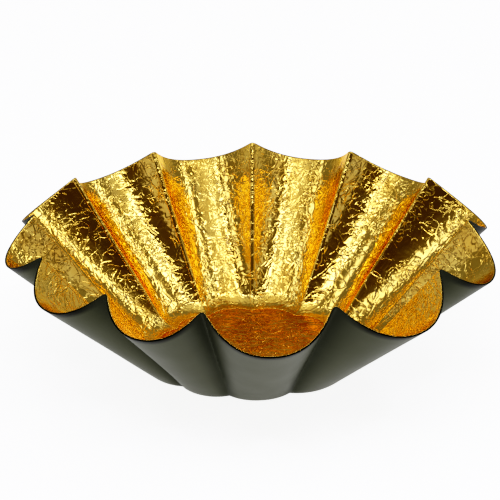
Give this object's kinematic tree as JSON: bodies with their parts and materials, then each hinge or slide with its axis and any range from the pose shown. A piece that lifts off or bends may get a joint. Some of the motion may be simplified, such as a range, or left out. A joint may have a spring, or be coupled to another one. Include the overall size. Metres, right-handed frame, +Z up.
{
  "type": "fluted decorative bowl",
  "caption": "Wide shallow bowl pressed from sheet metal with uneven radial flutes and a flat floor, painted dark outside and lined inside with crinkled gold leaf.",
  "frame": {"origin": "middle of the flat underside of the floor, on the surface that the bowl stands on", "axes": "+Z up out of the bowl's mouth; -Y is the front of the bowl and +Y its back, where one ridge lies 1 degree short of +Y; +X is to the right seen from the front"},
  "size_m": [0.2955, 0.2972, 0.089],
  "materials": {
    "dark_paint": "satin-matt dark olive-grey paint on pressed steel",
    "gold_leaf": "bright crinkled imitation gold leaf under clear lacquer"
  },
  "bodies": {
    "root": {"pressed_bowl_shell": "dark_paint", "gold_leaf_floor": "gold_leaf", "gold_leaf_flute_01": "gold_leaf", "gold_leaf_flute_02": "gold_leaf", "gold_leaf_flute_03": "gold_leaf", "gold_leaf_flute_04": "gold_leaf", "gold_leaf_flute_05": "gold_leaf", "gold_leaf_flute_06": "gold_leaf", "gold_leaf_flute_07": "gold_leaf", "gold_leaf_flute_08": "gold_leaf", "gold_leaf_flute_09": "gold_leaf", "gold_leaf_flute_10": "gold_leaf", "gold_leaf_flute_11": "gold_leaf", "gold_leaf_flute_12": "gold_leaf"}
  },
  "joints": []
}
